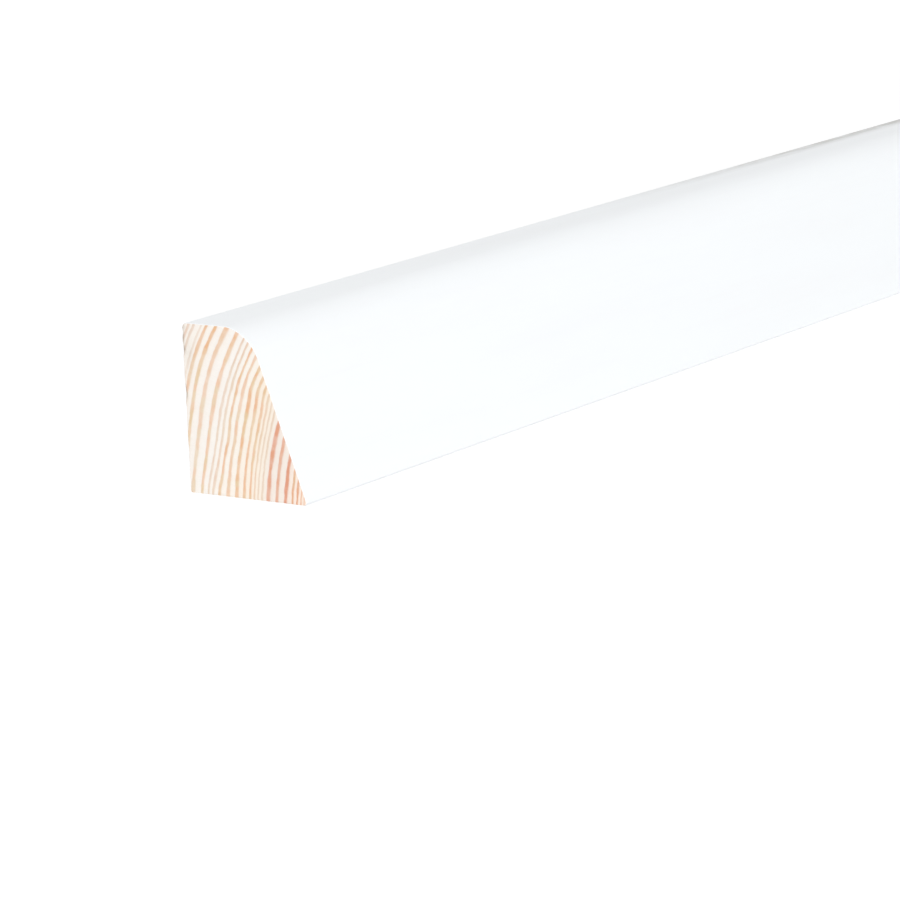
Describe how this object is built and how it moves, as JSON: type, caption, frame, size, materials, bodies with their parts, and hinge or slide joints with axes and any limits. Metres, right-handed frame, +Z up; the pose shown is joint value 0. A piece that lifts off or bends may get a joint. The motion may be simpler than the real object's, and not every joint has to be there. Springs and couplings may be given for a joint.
{
  "type": "crown moulding piece",
  "caption": "Short length of solid painted pine corner moulding with a leaning front, a rounded shoulder and square-cut ends.",
  "frame": {"origin": "centre of the wide face that it stands on", "axes": "+X along the strip, +Y out of the flat back, +Z up from the wide face; the leaning front is towards -Y"},
  "size_m": [0.3, 0.0274, 0.033],
  "materials": {
    "painted_pine": "white satin paint on the front and narrow face, bare planed pine elsewhere"
  },
  "bodies": {
    "root": {"crown_moulding": "painted_pine"}
  },
  "joints": []
}
